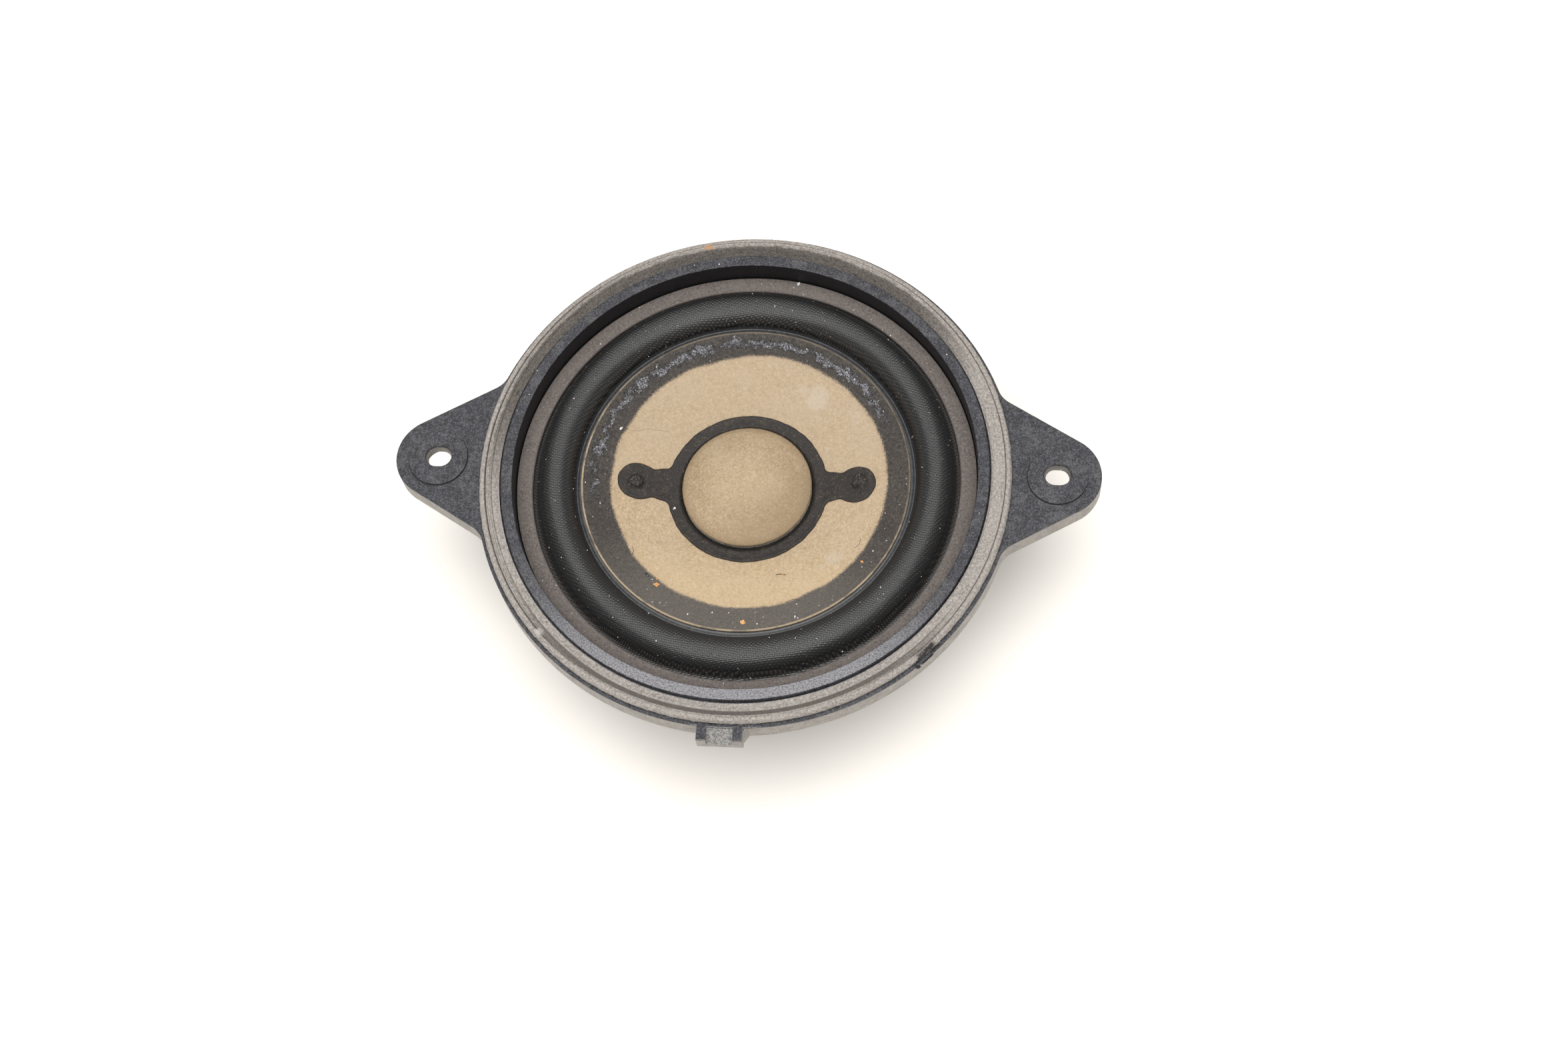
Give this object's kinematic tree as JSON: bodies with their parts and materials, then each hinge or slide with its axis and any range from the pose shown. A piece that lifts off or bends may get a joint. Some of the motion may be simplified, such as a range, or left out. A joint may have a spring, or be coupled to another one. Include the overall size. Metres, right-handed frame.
{
  "type": "car midrange speaker",
  "caption": "Round car midrange loudspeaker with paper cone, woven half-roll surround, foam gasket and a moulded frame with two slotted mounting ears.",
  "frame": {"origin": "centre of the flat rear face of the motor cup, on the speaker's axis", "axes": "+Z along the axis towards the listener (cone side), +X from ear to ear towards the right ear, -Y towards the locating clip"},
  "size_m": [0.1342, 0.1044, 0.036],
  "materials": {
    "frame_plastic": "moulded glass-filled plastic, mottled charcoal",
    "gasket_foam": "closed-cell foam strip, grey beige",
    "clamp_board": "matte pressed fibre ring",
    "surround_cloth": "coated woven cloth",
    "cone_paper": "pressed paper pulp",
    "cap_paper": "pressed paper pulp",
    "adhesive": "black flexible adhesive",
    "solder": "rivet head under black adhesive",
    "coil_former": "thin coil former",
    "copper_wire": "enamelled copper wire",
    "kraft_collar": "kraft paper",
    "spider_cloth": "resin-treated cloth",
    "steel": "zinc-plated steel",
    "magnet_metal": "nickel-plated magnet",
    "copper_ring": "bare copper",
    "terminal_brass": "stamped brass",
    "tinsel_braid": "braided tinsel over textile core"
  },
  "bodies": {
    "frame": {"basket": "frame_plastic", "foam_gasket": "gasket_foam", "clamp_ring": "clamp_board", "surround": "surround_cloth", "spider": "spider_cloth", "motor_cup": "steel", "magnet": "magnet_metal", "shorting_ring": "copper_ring", "pole_plate": "steel", "terminal_left": "terminal_brass", "terminal_right": "terminal_brass", "tinsel_lead_left": "tinsel_braid", "tinsel_lead_right": "tinsel_braid"},
    "diaphragm": {"cone": "cone_paper", "dust_cap": "cap_paper", "lead_adhesive": "adhesive", "eyelet_left": "solder", "eyelet_right": "solder", "voice_coil_former": "coil_former", "voice_coil_winding": "copper_wire", "former_collar": "kraft_collar"}
  },
  "joints": [
    {"name": "cone_stroke", "type": "slide", "parent": "frame", "child": "diaphragm", "axis": [0, 0, 1], "range_m": [-0.0025, 0.0025], "stiffness_N_per_m": 900, "deforming": ["surround", "spider", "tinsel_lead_left", "tinsel_lead_right"]}
  ]
}
